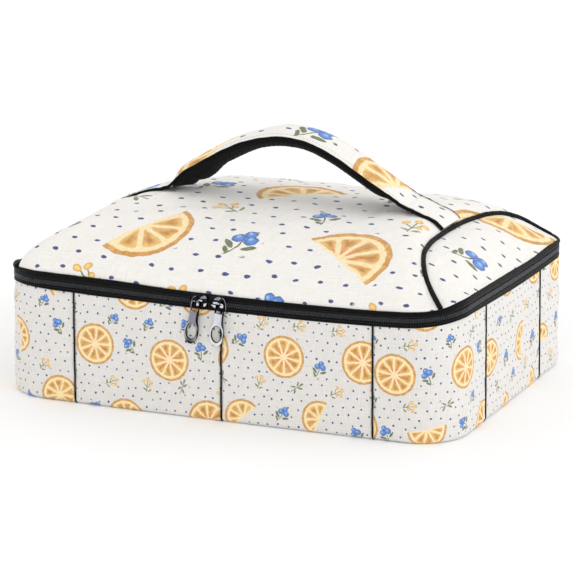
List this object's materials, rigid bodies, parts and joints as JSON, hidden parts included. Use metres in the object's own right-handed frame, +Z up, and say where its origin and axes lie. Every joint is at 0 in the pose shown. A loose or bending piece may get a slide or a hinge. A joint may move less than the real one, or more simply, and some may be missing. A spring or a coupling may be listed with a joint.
{
  "type": "casserole carrier",
  "caption": "Insulated rectangular casserole carrier with printed fabric walls, a domed lid opened by a double zip, and a padded arch handle",
  "frame": {"origin": "centre of the base on the surface it stands on", "axes": "+X along the long front to the right, +Y to the back where the lid is hinged, +Z up; the zip pulls are on the -Y side"},
  "size_m": [0.402, 0.3015, 0.2143],
  "materials": {
    "printed_cloth": "matte woven polyester with a small all-over print, cream ground",
    "base_cloth": "matte woven polyester",
    "black_trim": "ribbed binding tape and piping",
    "zip_tape": "woven zip tape",
    "zip_coil": "nylon coil",
    "zip_metal": "polished black nickel",
    "handle_mesh": "black spacer mesh",
    "foil": "foil laminate, heat sealed",
    "foam": "white expanded foam",
    "board": "stiff sheet"
  },
  "bodies": {
    "carrier_body": {"base_fabric": "base_cloth", "base_board": "board", "base_foam": "foam", "wall_panel_01": "printed_cloth", "wall_panel_02": "printed_cloth", "wall_panel_03": "printed_cloth", "wall_panel_04": "printed_cloth", "wall_panel_05": "printed_cloth", "wall_panel_06": "printed_cloth", "wall_panel_07": "printed_cloth", "wall_panel_08": "printed_cloth", "wall_panel_09": "printed_cloth", "wall_panel_10": "printed_cloth", "wall_seam_01": "black_trim", "wall_seam_02": "black_trim", "wall_seam_03": "black_trim", "wall_seam_04": "black_trim", "wall_seam_05": "black_trim", "wall_seam_06": "black_trim", "wall_seam_07": "black_trim", "wall_seam_08": "black_trim", "wall_seam_09": "black_trim", "wall_seam_10": "black_trim", "wall_foam": "foam", "liner": "foil", "zip_tape_lower": "zip_tape", "zip_coil_lower": "zip_coil", "zip_stop_left": "zip_metal", "zip_stop_right": "zip_metal", "hinge_strip_lower": "zip_tape"},
    "lid": {"lid_center_panel": "printed_cloth", "lid_end_panel_left": "printed_cloth", "lid_end_panel_right": "printed_cloth", "lid_piping_left": "black_trim", "lid_piping_right": "black_trim", "lid_foam": "foam", "lid_liner": "foil", "lid_rim_binding": "black_trim", "zip_tape_upper": "zip_tape", "zip_coil_upper": "zip_coil", "hinge_strip_upper": "zip_tape", "handle_tail_left": "printed_cloth", "handle_tail_right": "printed_cloth", "handle_end_left": "handle_mesh", "handle_end_right": "handle_mesh"},
    "handle": {"handle_cover": "printed_cloth", "handle_core": "foam", "handle_mesh": "handle_mesh", "handle_binding_front": "black_trim", "handle_binding_back": "black_trim"},
    "slider_left": {"slider_left": "zip_metal"},
    "slider_right": {"slider_right": "zip_metal"},
    "pull_left": {"pull_left": "zip_metal"},
    "pull_right": {"pull_right": "zip_metal"}
  },
  "joints": [
    {"name": "lid_hinge", "type": "hinge", "parent": "carrier_body", "child": "lid", "pos_m": [0, 0.1482, 0.1007], "axis": [-1, 0, 0], "range_deg": [0, 170]},
    {"name": "slider_left_slide", "type": "slide", "parent": "carrier_body", "child": "slider_left", "axis": [-1, 0, 0], "range_m": [0, 0.13]},
    {"name": "slider_right_slide", "type": "slide", "parent": "carrier_body", "child": "slider_right", "axis": [1, 0, 0], "range_m": [0, 0.145]},
    {"name": "pull_left_flip", "type": "hinge", "parent": "slider_left", "child": "pull_left", "pos_m": [-0.0189, -0.15075, 0.1007], "axis": [-1, 0, 0], "range_deg": [0, 160]},
    {"name": "pull_right_flip", "type": "hinge", "parent": "slider_right", "child": "pull_right", "pos_m": [0.0025, -0.15075, 0.1007], "axis": [-1, 0, 0], "range_deg": [0, 160]},
    {"name": "handle_swing", "type": "hinge", "parent": "lid", "child": "handle", "pos_m": [0, 0, 0.163], "axis": [1, 0, 0], "range_deg": [-40, 40], "stiffness_Nm_per_rad": 0.15}
  ]
}
